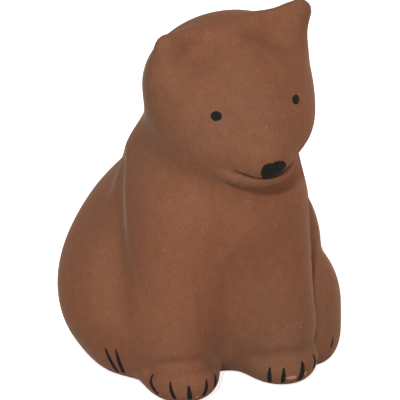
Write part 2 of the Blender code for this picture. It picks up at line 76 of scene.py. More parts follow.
# %% [markdown]
# ## The form as a distance
#
# A moulded animal has no straight edge and no single profile, so boxes, lathes and lofts don't suit it.
# A smooth union does: each mass is a function that gives the distance to its surface, and `blend` rounds
# the crease where two of them meet. A small softness gives a crease, as at the chin, and a large one
# gives a slow swell, as from neck to back. The masses are close to the solid model's, but some of them
# were moved, by up to 2.4 mm, to bring the form closer to the photo.

# %% Distances and how they join
def blend(a, b, softness):
    """Smaller of two distances, rounded where they are alike."""
    near = np.maximum(softness - np.abs(a - b), 0.0) / softness
    return np.minimum(a, b) - near * near * softness / 4


def carve(a, b, softness):
    """Distance a with the solid b taken out of it, rounded at the rim."""
    return -blend(-a, b, softness)


def ball(q, centre, radius):
    return np.linalg.norm(q - np.array(centre), axis=-1) - radius


def ellipsoid(q, centre, half):
    offset = q - np.array(centre)
    half = np.array(half)
    k0 = np.linalg.norm(offset / half, axis=-1)
    k1 = np.linalg.norm(offset / half ** 2, axis=-1)
    return k0 * (k0 - 1) / np.maximum(k1, 1e-9)


def round_cone(q, start, end, radius_start, radius_end):
    """Distance to two spheres and the cone that touches both."""
    start = np.array(start)
    axis = np.array(end) - start
    length = np.linalg.norm(axis)
    axis = axis / length
    along = (q - start) @ axis
    across = np.linalg.norm((q - start) - along[..., None] * axis, axis=-1)
    sine = (radius_start - radius_end) / length
    cosine = math.sqrt(1 - sine * sine)
    slide = along * cosine - across * sine
    side = across * cosine + along * sine - radius_start
    at_start = np.hypot(along, across) - radius_start
    at_end = np.hypot(along - length, across) - radius_end
    return np.where(slide < 0, at_start, np.where(slide > length * cosine, at_end, side))


# %% [markdown]
# ## Body, legs and paws
#
# The forelegs stand close together in front of the breast, and the haunches swell out beside them. Each
# paw is its own low mass, joined softly. Where two masses meet too gently to leave a line, a furrow is
# carved: between the forelegs, behind the right one, and above the toes of both front paws.

# %% Masses of the body
# An ellipsoid is a centre and half sizes, a ball a centre and a radius. A leg runs from its top ball to
# its bottom one.
RUMP = ((2.8, 17.0, 24.4), (32.0, 29.0, 27.9))
CHEST = ((-1.6, 2.3, 44.6), (16.8, 18.3, 22.0))
BELLY = ((0.5, 2.2, 14.4), (16.0, 12.6, 18.5))
BREAST = ((0.5, -5.5, 33.0), (13.0, 10.5, 25.0))
BIB = ((0.0, -13.5, 47.4), (11.0, 12.0, 14.0))
NECK = ((0.6, -6.1, 59.3), 16.2)
SHOULDER = {"right": ((-13.2, -1.0, 42.1), (11.0, 12.3, 24.5)),
            "left": ((12.1, -2.1, 41.8), (10.2, 11.5, 24.6))}
HAUNCH = {"right": ((-19.9, 9.3, 17.6), (14.9, 17.3, 17.2)),
          "left": ((21.6, 4.6, 13.4), (13.7, 18.7, 16.7))}
LEG_TOP = {"right": ((-11.4, -11.4, 46.4), 10.2), "left": ((8.5, -12.5, 45.2), 10.4)}
LEG_BOTTOM = {"right": ((-13.8, -12.2, 13.7), 8.7), "left": ((12.8, -12.2, 13.2), 9.8)}
FRONT_PAW = {"right": ((-12.8, -13.8, 5.0), (9.2, 9.8, 6.6)),
             "left": ((13.6, -12.2, 4.7), (9.4, 10.2, 6.6))}
HIND_PAW = {"right": ((-19.9, 4.8, 6.3), (7.2, 7.9, 6.1)),
            "left": ((23.2, -5.2, 5.4), (7.8, 9.0, 6.8))}
SIDES = {"right": -1, "left": 1}

# %% How softly the masses of the body join
CHEST_JOIN = 16.0
NECK_JOIN = 14.0
BELLY_JOIN = 10.0
BIB_JOIN = 8.0
BREAST_JOIN = 8.0
SHOULDER_JOIN = 5.0
LEG_JOIN = 7.0
FRONT_PAW_JOIN = 2.5
HIND_PAW_JOIN = 6.0
HAUNCH_JOIN = {"right": 12.0, "left": 1.4}


def trunk(q):
    d = blend(ellipsoid(q, *RUMP), ellipsoid(q, *CHEST), CHEST_JOIN)
    d = blend(d, ball(q, *NECK), NECK_JOIN)
    d = blend(d, ellipsoid(q, *BELLY), BELLY_JOIN)
    front = blend(ellipsoid(q, *BREAST), ellipsoid(q, *BIB), BIB_JOIN)
    return blend(d, front, BREAST_JOIN)


# %% Furrows between the masses
# Stations of a tube, its radius there, and how far its rims are rounded.
FURROWS = {
    "between_forelegs": (((-4.6, -29.0, 50.0), (-8.6, -26.4, 34.0), (-9.2, -25.4, 24.0),
                          (-5.6, -23.4, 12.5)), (2.6, 2.7, 2.4, 1.2), 4.0),
    "behind_right_foreleg": (((-25.0, 3.4, 54.0), (-27.9, -2.9, 37.5), (-29.6, -9.2, 21.5)), 3.0, 5.0),
    "toes_front_right": (((-22.4, -14.4, 7.0), (-20.8, -17.5, 9.2), (-17.7, -20.7, 10.5),
                          (-13.5, -21.9, 10.7), (-8.4, -20.3, 10.0), (-4.9, -17.7, 8.4)), 1.3, 1.6),
    "toes_front_left": (((5.2, -18.6, 7.3), (6.7, -20.3, 8.5), (9.4, -22.0, 9.2),
                         (12.9, -22.6, 9.3), (16.8, -21.7, 9.0), (20.6, -18.9, 8.0)), 1.3, 1.6),
}


def furrow(q, path, radii):
    """Distance to a tube along a few stations; its radius may change from station to station."""
    path = np.array(path)
    radii = np.broadcast_to(np.array(radii, float), len(path))
    nearest = np.full(len(q), np.inf)
    for start, end, radius, next_radius in zip(path[:-1], path[1:], radii[:-1], radii[1:]):
        run = end - start
        t = np.clip((q - start) @ run / (run @ run), 0, 1)
        gap = np.linalg.norm(q - start - t[:, None] * run, axis=-1)
        nearest = np.minimum(nearest, gap - radius - (next_radius - radius) * t)
    return nearest


def limbs(q, d):
    """The trunk's distance d with legs and paws joined and the furrows carved."""
    for side in SIDES:
        d = blend(d, ellipsoid(q, *SHOULDER[side]), SHOULDER_JOIN)
        (top, top_radius), (bottom, bottom_radius) = LEG_TOP[side], LEG_BOTTOM[side]
        leg = round_cone(q, top, bottom, top_radius, bottom_radius)
        leg = blend(leg, ellipsoid(q, *FRONT_PAW[side]), FRONT_PAW_JOIN)
        d = blend(d, leg, LEG_JOIN)
    for side in SIDES:
        hind = blend(ellipsoid(q, *HAUNCH[side]), ellipsoid(q, *HIND_PAW[side]), HIND_PAW_JOIN)
        d = blend(d, hind, HAUNCH_JOIN[side])
    for path, radii, softness in FURROWS.values():
        d = carve(d, furrow(q, path, radii), softness)
    return d


print("furrows", ", ".join(FURROWS))

# %% [markdown]
# ## Head and ears
#
# The head is bowed, turned a little to the bear's left and tilted. It gets a frame of its own, so that
# both sides of the face stay alike however the head is held. Each ear is a flattened cone with a shallow
# cup carved from its front, and a valley parts it from the brow. One more furrow gives the right ear a
# sharp inner corner. The jaw is a mass of its own, because the mouth is the crease above it.

# %% Masses of the head, in its own frame
def rotation(degrees, axis):
    return Matrix.Rotation(math.radians(degrees), 3, axis)


HEAD_CENTRE = np.array((-0.1, -14.1, 77.1))
HEAD_TURN, HEAD_BOW, HEAD_TILT = 3.8, 19.1, -7.0    # degrees
HEAD_TURNED = np.array(rotation(HEAD_TURN, "Z") @ rotation(HEAD_BOW, "X") @ rotation(HEAD_TILT, "Y"))
HEAD_UP = HEAD_TURNED @ np.array((0.0, 0.0, 1.0))
SKULL = ((-0.1, 4.2, 2.3), (19.3, 13.4, 13.2))
CHEEK = ((8.5, -4.6, -5.6), (8.6, 12.8, 7.7))
MUZZLE = ((0.0, -3.1, 0.0), (0.0, -18.5, -6.0), 11.2, 5.3)
CHEEK_JOIN = 13.0
MUZZLE_JOIN = 10.0


def mirrored(point, sign):
    return (sign * point[0], point[1], point[2])


def to_head(q):
    return (q - HEAD_CENTRE) @ HEAD_TURNED


# %% The ears
EAR_ROOT = ((11.3, 2.6, 8.2), 8.2)
EAR_TIP = {"right": ((-15.4, 2.5, 13.9), 3.2), "left": ((17.3, 2.7, 14.4), 3.8)}
EAR_FLATNESS = 1.7
EAR_JOIN = 4.0
EAR_CUP = ((10.6, -5.6, 15.6), (4.8, 6.6, 3.6))
CUP_TURN = -45.0
CUP_TURNED = np.array(rotation(CUP_TURN, "Y"))
CUP_RIM = 3.5
EAR_CORNER = (((-9.1, -0.8, 13.6), (-10.1, -1.1, 13.0), (-11.7, -2.0, 12.4), (-13.9, -2.4, 12.1)),
              (2.3, 2.2, 2.0, 1.7))
CORNER_RIM = 1.4
EAR_VALLEY = (((4.9, -2.3, 18.3), (10.5, -3.1, 14.9), (16.0, -5.0, 11.2)), (4.0, 3.9, 2.6))
VALLEY_RIM = 2.5


def ear(q, side):
    """Round cone in a space stretched from front to back, with its distance brought back to scale."""
    flat = np.array((1.0, EAR_FLATNESS, 1.0))
    root = np.array(mirrored(EAR_ROOT[0], SIDES[side])) * flat
    tip, tip_radius = EAR_TIP[side]
    cone = round_cone(q * flat, root, np.array(tip) * flat, EAR_ROOT[1], tip_radius)
    return cone / (0.5 + 0.5 * EAR_FLATNESS)


def ear_cup(q, sign):
    turned_cup = CUP_TURNED if sign > 0 else CUP_TURNED.T
    return ellipsoid((q - np.array(mirrored(EAR_CUP[0], sign))) @ turned_cup, (0, 0, 0), EAR_CUP[1])


def crown(own):
    """Skull, cheeks, muzzle and ears in the head's own frame."""
    d = ellipsoid(own, *SKULL)
    for sign in SIDES.values():
        d = blend(d, ellipsoid(own, mirrored(CHEEK[0], sign), CHEEK[1]), CHEEK_JOIN)
    d = blend(d, round_cone(own, *MUZZLE), MUZZLE_JOIN)
    for side, sign in SIDES.items():
        d = carve(blend(d, ear(own, side), EAR_JOIN), ear_cup(own, sign), CUP_RIM)
        valley = [mirrored(station, sign) for station in EAR_VALLEY[0]]
        d = carve(d, furrow(own, valley, EAR_VALLEY[1]), VALLEY_RIM)
    return carve(d, furrow(own, *EAR_CORNER), CORNER_RIM)


# %% The jaw, and the whole skin
JAW = ((-0.8, -9.5, -11.6), (12.5, 13.7, 4.95))
JAW_LEAN = 0.19
JAW_TURN = -0.04
HEAD_JOIN = 10.0
JAW_JOIN = 0.7


def jaw(own):
    """Flat ellipsoid that leans down towards the bear's left, as its mouth does."""
    x, y, z = np.moveaxis(own - np.array(JAW[0]), -1, 0)
    return ellipsoid(np.stack([x + JAW_TURN * y, y, z + JAW_LEAN * x], axis=-1), (0, 0, 0), JAW[1])


def above_mouth(q):
    """Body, limbs and head without the jaw."""
    return blend(limbs(q, trunk(q)), crown(to_head(q)), HEAD_JOIN)


def skin(q):
    """Distance from points (n, 3) to the toy's surface, less than 0 inside."""
    return blend(above_mouth(q), jaw(to_head(q)), JAW_JOIN)


print("head's centre is", round(-float(skin(HEAD_CENTRE[None])[0]), 1), "mm inside the skin")


# %% [markdown]
# ## From distance to mesh
#
# A grid finds where the distance changes sign. Each grid cell that the surface crosses gets one point,
# and neighbouring points are joined into four-sided faces. The points then slide along the slope until
# their distance is 0, and relax so that the faces are even.

# %% Slide points on to the surface
def slope(distance, points, reach=0.05):
    """Unit direction in which the distance grows fastest at each point."""
    out = np.empty_like(points)
    for axis in range(3):
        step = np.zeros(3)
        step[axis] = reach
        out[:, axis] = distance(points + step) - distance(points - step)
    return out / np.maximum(np.linalg.norm(out, axis=1, keepdims=True), 1e-9)


def settle(distance, points, rounds=4):
    for _ in range(rounds):
        points = points - slope(distance, points) * distance(points)[:, None]
    return points


# %% Grid, join and relax
RELAX_ROUNDS = 4
RELAX_SHARE = 0.6


def level_mesh(distance, low, high, cell):
    axes = [np.arange(a, b + cell, cell) for a, b in zip(low, high)]
    grid = np.stack(np.meshgrid(*axes, indexing="ij"), axis=-1)
    inside = distance(grid.reshape(-1, 3)).reshape(grid.shape[:3]) < 0
    count = np.zeros([n - 1 for n in inside.shape], int)
    for corner in np.ndindex(2, 2, 2):
        count += inside[tuple(slice(c, c + n) for c, n in zip(corner, count.shape))]
    crossed = (count > 0) & (count < 8)
    index = np.full(crossed.shape, -1)
    index[crossed] = np.arange(crossed.sum())
    points = grid[:-1, :-1, :-1][crossed] + cell / 2
    quads = []
    for axis in range(3):
        before = np.moveaxis(inside, axis, 0)[:-1, 1:-1, 1:-1]
        after = np.moveaxis(inside, axis, 0)[1:, 1:-1, 1:-1]
        cells = np.moveaxis(index, axis, 0)
        ring = [cells[:, :-1, :-1], cells[:, 1:, :-1], cells[:, 1:, 1:], cells[:, :-1, 1:]]
        if axis == 1:
            ring.reverse()
        quads.append(np.stack([r[before & ~after] for r in ring], axis=1))
        quads.append(np.stack([r[~before & after] for r in reversed(ring)], axis=1))
    quads = np.concatenate(quads)
    edges = np.concatenate([quads[:, [i, (i + 1) % 4]] for i in range(4)])
    points = settle(distance, points)
    for _ in range(RELAX_ROUNDS):
        total = np.zeros_like(points)
        share = np.zeros(len(points))
        np.add.at(total, edges[:, 0], points[edges[:, 1]])
        np.add.at(share, edges[:, 0], 1)
        middle = total / share[:, None]
        points = settle(distance, (1 - RELAX_SHARE) * points + RELAX_SHARE * middle, rounds=1)
    return points, quads


# %% Mesh the whole skin
GROUND_ROUND = 1.2
GRID_LOW = (-38.0, -42.0, -2.0)
GRID_HIGH = (40.0, 52.0, 102.0)
GRID_CELL = 1.3


def standing(q):
    """The skin cut off at the ground, with a small round where the sides turn under."""
    return carve(skin(q), q[..., 2], GROUND_ROUND)


skin_points, skin_quads = level_mesh(standing, GRID_LOW, GRID_HIGH, GRID_CELL)
print("skin", len(skin_points), "points", len(skin_quads), "faces")


# %% [markdown]
# ## Finer faces only where they are needed
#
# The mouth is a crease half a millimetre wide, which the even faces are too large for. Faces near it are
# divided again and again, each time in a narrower band, and the new points are settled on the surface.
# The furrows above the front toes are wider, so one division is enough there.

# %% Rays from inside the skin
RAY_STEPS = 60


def cast(starts, directions):
    """Points where rays from inside the skin leave it."""
    directions = np.array(directions, float)
    directions /= np.linalg.norm(directions, axis=-1, keepdims=True)
    starts = np.broadcast_to(np.array(starts, float), directions.shape)
    travelled = np.zeros(len(directions))
    for _ in range(RAY_STEPS):
        travelled -= skin(starts + travelled[:, None] * directions)
    return starts + travelled[:, None] * directions


def on_head(directions):
    """Points of the skin seen from the head's centre along directions in the head's frame."""
    return cast(HEAD_CENTRE, np.array(directions) @ HEAD_TURNED.T)


# %% The mouth's path on the head
# Its ends in degrees from straight ahead, and the heights that it lies between, one unit in front.
MOUTH_ENDS = (-24.0, 21.0)
MOUTH_HEIGHTS = (-0.55, -0.15)
HALVINGS = 12


def mouth_path(count=60):
    """Where the jaw's surface meets the muzzle's, found by halving an interval of heights."""
    angle = np.radians(np.linspace(*MOUTH_ENDS, count))
    low, high = (np.full(count, height) for height in MOUTH_HEIGHTS)
    for _ in range(HALVINGS):
        middle = (high + low) / 2
        points = on_head(np.stack([np.sin(angle), -np.cos(angle), middle], axis=1))
        on_muzzle = above_mouth(points) < jaw(to_head(points))
        high, low = np.where(on_muzzle, middle, high), np.where(on_muzzle, low, middle)
    return points


mouth = mouth_path()
print("mouth is", round(float(np.linalg.norm(np.diff(mouth, axis=0), axis=1).sum()), 1), "mm long")

# %% Divide the faces near a path
POINTS_AT_ONCE = 4000


def near_points(at, guide, band):
    """Which points lie within the band round the guide's points."""
    box = (at > guide.min(axis=0) - band).all(axis=1) & (at < guide.max(axis=0) + band).all(axis=1)
    near = np.zeros(len(at), bool)
    chosen = np.nonzero(box)[0]
    for start in range(0, len(chosen), POINTS_AT_ONCE):
        some = chosen[start:start + POINTS_AT_ONCE]
        gap = np.linalg.norm(at[some][:, None] - guide[None], axis=2).min(axis=1)
        near[some] = gap < band
    return near


def divided(points, quads, paths, bands):
    """Mesh whose edges near the paths are split once for each band, in millimetres."""
    mesh = bmesh.new()
    for p in points:
        mesh.verts.new(p)
    mesh.verts.ensure_lookup_table()
    for q in quads:
        mesh.faces.new([mesh.verts[i] for i in q])
    guide = np.concatenate(paths)
    for band in bands:
        mesh.verts.ensure_lookup_table()
        near = near_points(np.array([v.co for v in mesh.verts]), guide, band)
        edges = [e for e in mesh.edges if near[e.verts[0].index] and near[e.verts[1].index]]
        bmesh.ops.subdivide_edges(mesh, edges=edges, cuts=1, use_grid_fill=True)
    mesh.verts.ensure_lookup_table()
    mesh.verts.index_update()
    at = np.array([v.co for v in mesh.verts])
    faces = [[v.index for v in f.verts] for f in mesh.faces]
    mesh.free()
    return settle(standing, at, rounds=3), faces


# %% Finer faces at the toes and the mouth
TOE_BANDS = (2.4,)
MOUTH_BANDS = (3.2, 2.2, 1.4, 0.8)


def filled(path, count=8):
    """A path with more points between its stations."""
    return np.concatenate([np.linspace(a, b, count) for a, b in zip(path[:-1], path[1:])])


toe_creases = [filled(np.array(FURROWS[name][0])) for name in ("toes_front_right", "toes_front_left")]
fine_points, fine_faces = divided(skin_points, skin_quads, toe_creases, TOE_BANDS)
fine_points, fine_faces = divided(fine_points, fine_faces, [mouth], MOUTH_BANDS)
print("after dividing", len(fine_points), "points", len(fine_faces), "faces")


# %% [markdown]
# ## Make the skin object
#
# The object's origin stays at the frame's origin and its place is in its points. Smooth shading then
# hides the small faces. The mesh replaces the solid model's skin, which stays for the collision.

# %% A mesh from points in millimetres
def linked(name, data):
    obj = bpy.data.objects.new(name, data)
    bpy.context.scene.collection.objects.link(obj)
    return obj


def made(name, points, faces, material, body="body"):
    mesh = bpy.data.meshes.new(name)
    mesh.from_pydata([Vector(p) for p in to_frame(points)], [], [tuple(int(i) for i in f) for f in faces])
    mesh.update()
    mesh.shade_smooth()
    mesh.materials.append(material)
    obj = linked(name, mesh)
    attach(obj, body)
    return obj


# %% [markdown]
# ## The coat
#
# The coat is matte and a little velvety: it scatters light at grazing angles, which sheen does, and has
# almost no gloss. Its brown drifts between a redder and a greyer tone over centimetres, is mottled over
# millimetres and grainy below that, and carries a few pale specks of dust. In a few spots on the front
# paws it has rubbed off, and the pinkish moulding shows. In the mouth's crease the coat is painted
# nearly black as painted shade, since little light gets in there; an attribute of the mesh says where.

# %% Node helpers
# A Mix node's sockets for colours, by number, because its other kinds use the same names.
MIX_FACTOR, MIX_A, MIX_B, MIX_RESULT = 0, 6, 7, 2


def feed(tree, socket, value):
    """Link a socket to another node's output, or set its value."""
    if isinstance(value, bpy.types.NodeSocket):
        tree.links.new(value, socket)
    else:
        socket.default_value = (*value, 1.0) if socket.type == "RGBA" else value


def added(tree, kind, wanted=None, **settings):
    """New node with these settings and with its inputs fed."""
    node = tree.nodes.new(kind)
    for key, value in settings.items():
        setattr(node, key, value)
    for name, value in (wanted or {}).items():
        feed(tree, node.inputs[name], value)
    return node


def new_material(name, **wanted):
    """Material, tree and shader; a socket's name is given in lower case with _ for a space."""
    material = bpy.data.materials.new(name)
    material.use_nodes = True
    shader = material.node_tree.nodes["Principled BSDF"]
    sockets = {socket.name.lower().replace(" ", "_"): socket for socket in shader.inputs}
    for key, value in wanted.items():
        feed(material.node_tree, sockets[key], value)
    return material, material.node_tree, shader


# %% Patterns from nodes
def object_place(tree):
    return tree.nodes.new("ShaderNodeTexCoord").outputs["Object"]


def noise_of(tree, at, scale, detail=2.0, roughness=0.5):
    return added(tree, "ShaderNodeTexNoise", {"Vector": at, "Scale": scale, "Detail": detail,
                                              "Roughness": roughness}).outputs["Fac"]


def ramp(tree, value, stops):
    node = added(tree, "ShaderNodeValToRGB", {"Fac": value})
    for element, (place, colour) in zip(node.color_ramp.elements, stops):
        element.position = place
        element.color = (*colour, 1.0)
    return node.outputs["Color"]


def mixed(tree, factor, a, b, how="MIX"):
    return added(tree, "ShaderNodeMix", {MIX_FACTOR: factor, MIX_A: a, MIX_B: b},
                 data_type="RGBA", blend_type=how).outputs[MIX_RESULT]


def maths(tree, operation, a, b):
    return added(tree, "ShaderNodeMath", {0: a, 1: b}, operation=operation).outputs[0]


def bumped(tree, shader, height, strength, depth):
    """Fine relief; its depth is in millimetres."""
    bump = added(tree, "ShaderNodeBump", {"Strength": strength, "Distance": depth * MM, "Height": height})
    tree.links.new(bump.outputs["Normal"], shader.inputs["Normal"])


# %% Spots where the coat has rubbed off
# Centre and half sizes in millimetres.
WORN_SPOTS = (((12.9, -22.1, 3.2), (1.3, 1.6, 0.55)), ((16.6, -21.7, 3.6), (0.45, 1.2, 0.5)),
              ((-12.0, -23.0, 2.6), (0.5, 1.2, 0.3)), ((-6.1, -19.5, 7.4), (0.25, 0.6, 0.5)))
RAG_SCALE = 900.0
RAG_SIZE = 0.9


def spot(tree, at, place, half):
    """1 inside a ragged ellipsoid round a place, else 0."""
    offset = added(tree, "ShaderNodeVectorMath", {0: at, 1: to_frame(place)}, operation="SUBTRACT").outputs[0]
    scaled = added(tree, "ShaderNodeVectorMath", {0: offset, 1: np.array(half) * MM}, operation="DIVIDE")
    reach = added(tree, "ShaderNodeVectorMath", {0: scaled.outputs[0]}, operation="LENGTH").outputs["Value"]
    rag = maths(tree, "MULTIPLY", noise_of(tree, at, RAG_SCALE, detail=3.0), RAG_SIZE)
    return maths(tree, "LESS_THAN", maths(tree, "ADD", reach, rag), 1 + RAG_SIZE / 2)


# %% The brown coat
# The scales are in waves per metre.
RED_BROWN, GREY_BROWN, DRIFT_SCALE = (0.240, 0.098, 0.054), (0.205, 0.096, 0.055), 28.0
MOTTLE_DARK, MOTTLE_LIGHT, MOTTLE_SCALE = (0.96, 0.95, 0.94), (1.04, 1.05, 1.06), 420.0
GRAIN_DARK, GRAIN_LIGHT, GRAIN_SCALE = (0.86, 0.86, 0.86), (1.14, 1.14, 1.14), 2600.0
NAP_SCALE = 3400.0
DUST, DUST_SCALE, DUST_SIZE = (0.42, 0.25, 0.17), 330.0, 0.055
DUSTY_SCALE, DUSTY_ABOVE = 190.0, 0.57
BARE_PINK = (0.52, 0.24, 0.17)
# Painted shade: near-black laid on the coat along the mouth's crease, in place of the shade there.
CREASE_PAINTED_SHADE = (0.030, 0.013, 0.008)


def brown_coat():
    coat, tree, shader = new_material(
        "moulded_skin_coat", roughness=0.92, specular_ior_level=0.05,
        sheen_weight=0.18, sheen_roughness=0.4, sheen_tint=(0.88, 0.74, 0.60))
    at = object_place(tree)
    colour = ramp(tree, noise_of(tree, at, DRIFT_SCALE), ((0.36, RED_BROWN), (0.64, GREY_BROWN)))
    grain = noise_of(tree, at, GRAIN_SCALE, roughness=0.6)
    grain = ramp(tree, grain, ((0.3, GRAIN_DARK), (0.7, GRAIN_LIGHT)))
    colour = mixed(tree, 1.0, colour, grain, "MULTIPLY")
    mottle = noise_of(tree, at, MOTTLE_SCALE, detail=3.0)
    mottle = ramp(tree, mottle, ((0.35, MOTTLE_DARK), (0.65, MOTTLE_LIGHT)))
    colour = mixed(tree, 1.0, colour, mottle, "MULTIPLY")
    dots = added(tree, "ShaderNodeTexVoronoi", {"Vector": at, "Scale": DUST_SCALE})
    small = maths(tree, "LESS_THAN", dots.outputs["Distance"], DUST_SIZE)
    few = maths(tree, "GREATER_THAN", noise_of(tree, at, DUSTY_SCALE, detail=0.0), DUSTY_ABOVE)
    colour = mixed(tree, maths(tree, "MULTIPLY", small, few), colour, DUST)
    for place, half in WORN_SPOTS:
        colour = mixed(tree, spot(tree, at, place, half), colour, BARE_PINK)
    # Painted shade: the coat turns near-black along the mouth's crease, where the shade lies.
    crease_shade = added(tree, "ShaderNodeAttribute", attribute_name="crease_shade").outputs["Fac"]
    colour = mixed(tree, crease_shade, colour, CREASE_PAINTED_SHADE)
    feed(tree, shader.inputs["Base Color"], colour)
    nap = noise_of(tree, at, NAP_SCALE, detail=3.0, roughness=0.6)
    bumped(tree, shader, nap, strength=0.35, depth=0.06)
    return coat


coat = brown_coat()
skin_obj = made("moulded_skin_surface", fine_points, fine_faces, coat)
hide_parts("body_skin")
print("skin object", len(skin_obj.data.polygons), "faces")

# %% [markdown]
# ## The hole in the base
#
# The squeaker sits in a stepped hole. A turned profile is taken out of the skin with a Boolean, which
# keeps the hole's edges crisp: a recess for the flange, the neck, and a wider space above the seat.

# %% A solid turned about the squeaker's axis
# Radius and height of each corner. The first lies below the ground, so that the cut goes right through.
HOLE_PROFILE = ((12.7, -1.0), (12.7, 2.1), (10.0, 2.1), (10.0, 4.2), (11.5, 4.2), (11.5, 24.0))
HOLE_STEPS = 96


def turned(profile, steps):
    """Closed solid of revolution about the squeaker's axis."""
    points, faces = [], []
    for r, z in profile:
        for i in range(steps):
            turn = math.tau * i / steps
            points.append((SQUEAKER_AXIS[0] + r * math.cos(turn), SQUEAKER_AXIS[1] + r * math.sin(turn), z))
    for ring in range(len(profile) - 1):
        for i in range(steps):
            a, b = ring * steps + i, ring * steps + (i + 1) % steps
            faces.append((a, b, b + steps, a + steps))
    faces.append(tuple(reversed(range(steps))))
    faces.append(tuple(range(len(points) - steps, len(points))))
    return points, faces


# %% Cut the stepped hole
def made_plain(obj, modifier):
    """Turn the modifier's result into the object's own mesh."""
    finished = bpy.data.meshes.new_from_object(obj.evaluated_get(bpy.context.evaluated_depsgraph_get()))
    obj.modifiers.remove(modifier)
    obj.data = finished


def cut(obj, points, faces):
    """Take a closed solid out of the object."""
    mesh = bpy.data.meshes.new("hole_cutter")
    mesh.from_pydata([Vector(p) for p in to_frame(points)], [], faces)
    cutter = linked("hole_cutter", mesh)
    hole = obj.modifiers.new("hole", "BOOLEAN")
    hole.operation = "DIFFERENCE"
    hole.solver = "EXACT"
    hole.object = cutter
    made_plain(obj, hole)
    bpy.data.objects.remove(cutter)


cut(skin_obj, *turned(HOLE_PROFILE, HOLE_STEPS))
print("after the hole", len(skin_obj.data.polygons), "faces")

# %% [markdown]
# ## Pressing the mouth into the skin
#
# Sculpting is moving points along their normals by an amount that depends on where they are. The mouth
# is a groove, so its depth falls away as a bell curve on both sides of the path. It goes in and a little
# upward, which keeps the upper lip crisp. The painted shade of the crease is taken from the distance to
# the same path, before the points move: at the bottom of the groove they are already far from it.

# %% Press the mouth
MOUTH_DEPTH = 1.3
MOUTH_SPREAD = 0.20
MOUTH_TILT = 0.35
PRESS_BOX = 2.0
# Reach of the painted shade along the mouth's path, in millimetres.
CREASE_SHADE_REACH = 0.26


def press(points, path, depths, spread):
    """Points moved inward by a bell-shaped groove along a path."""
    out = points.copy()
    low, high = path.min(axis=0) - PRESS_BOX, path.max(axis=0) + PRESS_BOX
    some = np.nonzero((points > low).all(axis=1) & (points < high).all(axis=1))[0]
    gap = np.linalg.norm(points[some][:, None] - path[None], axis=2)
    nearest = gap.argmin(axis=1)
    amount = depths[nearest] * np.exp(-(gap.min(axis=1) / spread) ** 2)
    inward = MOUTH_TILT * HEAD_UP - slope(standing, points[some])
    out[some] += inward / np.linalg.norm(inward, axis=1, keepdims=True) * amount[:, None]
    return out


smooth_at = np.array([v.co for v in skin_obj.data.vertices]) / MM - FORM_STEP
strength = 1 - np.linspace(-1, 1, len(mouth)) ** 4
# Painted shade: how strongly the coat is darkened near the mouth's path, in place of the crease's shade.
crease_shade = np.zeros(len(smooth_at))
for point, share in zip(mouth, strength):
    from_path = np.linalg.norm(smooth_at - point, axis=1) / CREASE_SHADE_REACH
    crease_shade = np.maximum(crease_shade, share * np.exp(-from_path ** 4))
skin_obj.data.attributes.new("crease_shade", "FLOAT", "POINT").data.foreach_set("value", crease_shade)
pressed = press(smooth_at, mouth, MOUTH_DEPTH * strength, MOUTH_SPREAD)
skin_obj.data.vertices.foreach_set("co", to_frame(pressed).ravel())
skin_obj.data.update()
print("points in the mouth", int((crease_shade > 0.5).sum()))

# %% [markdown]
# ## Black paint
#
# Eyes, nose and claws are films of black paint, matte and nearly without gloss. Each follows the skin,
# stands a tenth of a millimetre proud in the middle and dips under it at its edge, so no gap shows and
# the edge is as thin as paint.

# %% The black paint
PAINT_DARK, PAINT_LIGHT, PAINT_SCALE = (0.010, 0.0095, 0.0095), (0.022, 0.021, 0.021), 1500.0
BRUSH_MARK_SCALE = 2400.0


def black_paint():
    paint, tree, shader = new_material("brushed_black_paint", roughness=0.85, specular_ior_level=0.06)
    at = object_place(tree)
    tone = noise_of(tree, at, PAINT_SCALE, detail=3.0, roughness=0.6)
    tone = ramp(tree, tone, ((0.3, PAINT_DARK), (0.72, PAINT_LIGHT)))
    feed(tree, shader.inputs["Base Color"], tone)
    bumped(tree, shader, noise_of(tree, at, BRUSH_MARK_SCALE, detail=3.0), strength=0.4, depth=0.05)
    return paint


paint = black_paint()

# %% A film inside an outline
FILM_RISE = 0.10
FILM_SINK = 0.12
FILM_BACK = 0.25
FILM_EDGE = 8
FILM_RINGS = 9


def film_faces(n, rings, back):
    """Faces of a round film: a fan, rings of quads, and a fan on the back that closes it."""
    faces = [(0, 1 + i, 1 + (i + 1) % n) for i in range(n)]
    for ring in range(rings - 1):
        base = 1 + ring * n
        for i in range(n):
            j = (i + 1) % n
            faces.append((base + i, base + n + i, base + n + j, base + j))
    rim = 1 + (rings - 1) * n
    faces.extend((back, rim + (i + 1) % n, rim + i) for i in range(n))
    return faces


def film(name, centre, outline, node, dimples=(), surface=skin):
    """Film on the skin round a surface point; the outline is (across, up) points in millimetres."""
    normal = slope(surface, centre[None])[0]
    side = np.cross(HEAD_UP, normal)
    side /= np.linalg.norm(side)
    rise = np.cross(normal, side)
    flat, scales = [centre], [0.0]
    for ring in range(1, FILM_RINGS + 1):
        s = ring / FILM_RINGS
        flat.extend(centre + s * (a * side + b * rise) for a, b in outline)
        scales.extend(s for _ in outline)
    flat = settle(surface, np.array(flat), rounds=6)
    lift = FILM_RISE - (FILM_RISE + FILM_SINK) * np.array(scales) ** FILM_EDGE
    for (a, b), depth, spread in dimples:
        from_dimple = flat - (centre + a * side + b * rise)
        gap = np.linalg.norm(from_dimple - np.outer(from_dimple @ normal, normal), axis=1)
        lift = lift - depth * np.exp(-(gap / spread) ** 2)
    points = flat + slope(surface, flat) * lift[:, None]
    faces = film_faces(len(outline), FILM_RINGS, len(points))
    points = np.vstack([points, flat[0] - normal * (FILM_SINK + FILM_BACK)])
    obj = made(name, points, faces, paint)
    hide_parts(node)
    print(name, len(faces), "faces")


